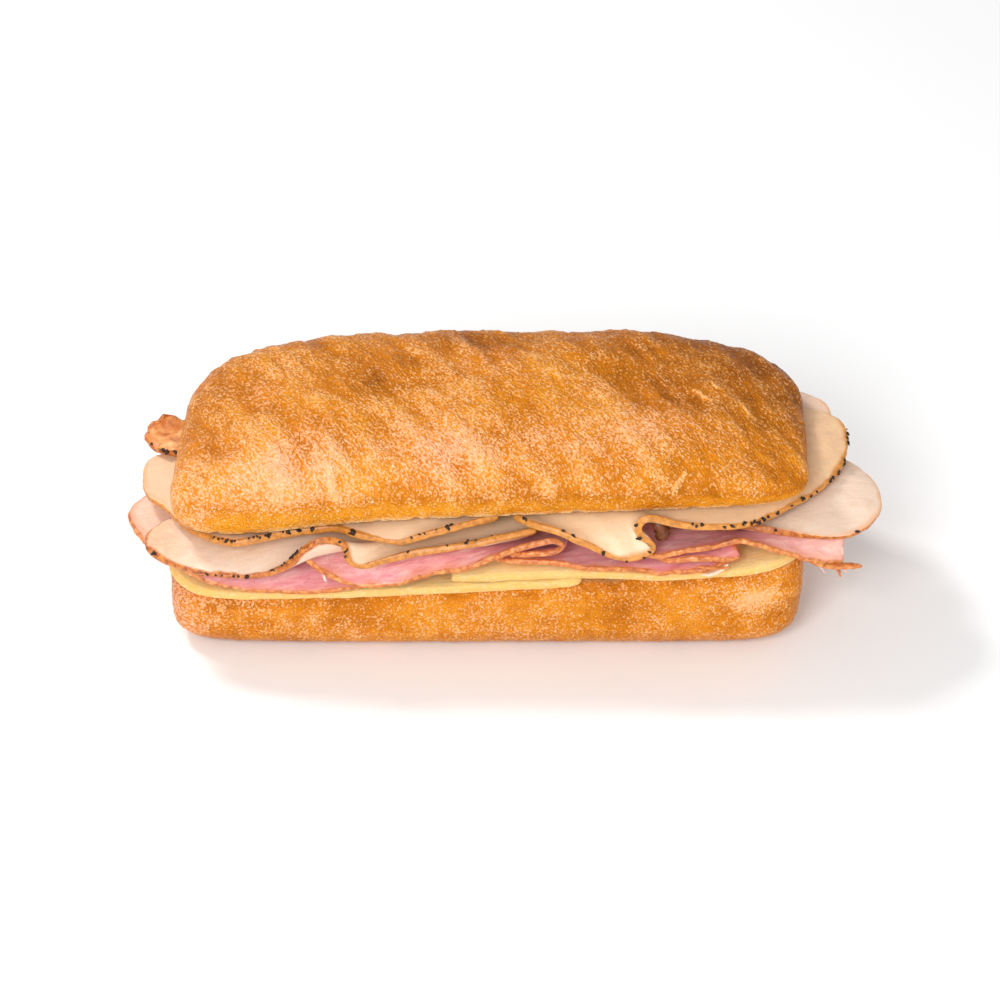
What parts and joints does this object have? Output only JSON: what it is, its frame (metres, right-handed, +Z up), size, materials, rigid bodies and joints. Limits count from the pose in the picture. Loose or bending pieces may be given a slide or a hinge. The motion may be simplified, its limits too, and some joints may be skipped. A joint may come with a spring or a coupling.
{
  "type": "filled ciabatta sandwich",
  "caption": "Long ciabatta sandwich with overhanging wavy slices of peppered turkey, folded ham and cheese between a flat heel and a domed crown.",
  "frame": {"origin": "middle of the heel's flat underside, on the surface that the sandwich rests on", "axes": "+X along the loaf to the thicker end of the filling's overhang, +Y to the loaf's back, +Z up"},
  "size_m": [0.2141, 0.0911, 0.0682],
  "materials": {
    "crust": "baked golden-brown crust, finely blistered, matt with a faint sheen",
    "cheese": "pale yellow cheese, smooth and slightly waxy",
    "ham": "moist pink ham with pale fat streaks and an orange-brown smoked rim",
    "turkey": "pale roast turkey with a browned rim and black pepper specks"
  },
  "bodies": {
    "root": {"heel": "crust", "cheese_left": "cheese", "cheese_right": "cheese", "ham_left": "ham", "ham_right": "ham", "ham_folded": "ham", "ham_torn": "ham", "turkey_low_right": "turkey", "turkey_front_left": "turkey", "turkey_low_back": "turkey", "turkey_top_left": "turkey", "turkey_curled_left": "turkey", "turkey_top_right": "turkey", "crown": "crust"}
  },
  "joints": []
}
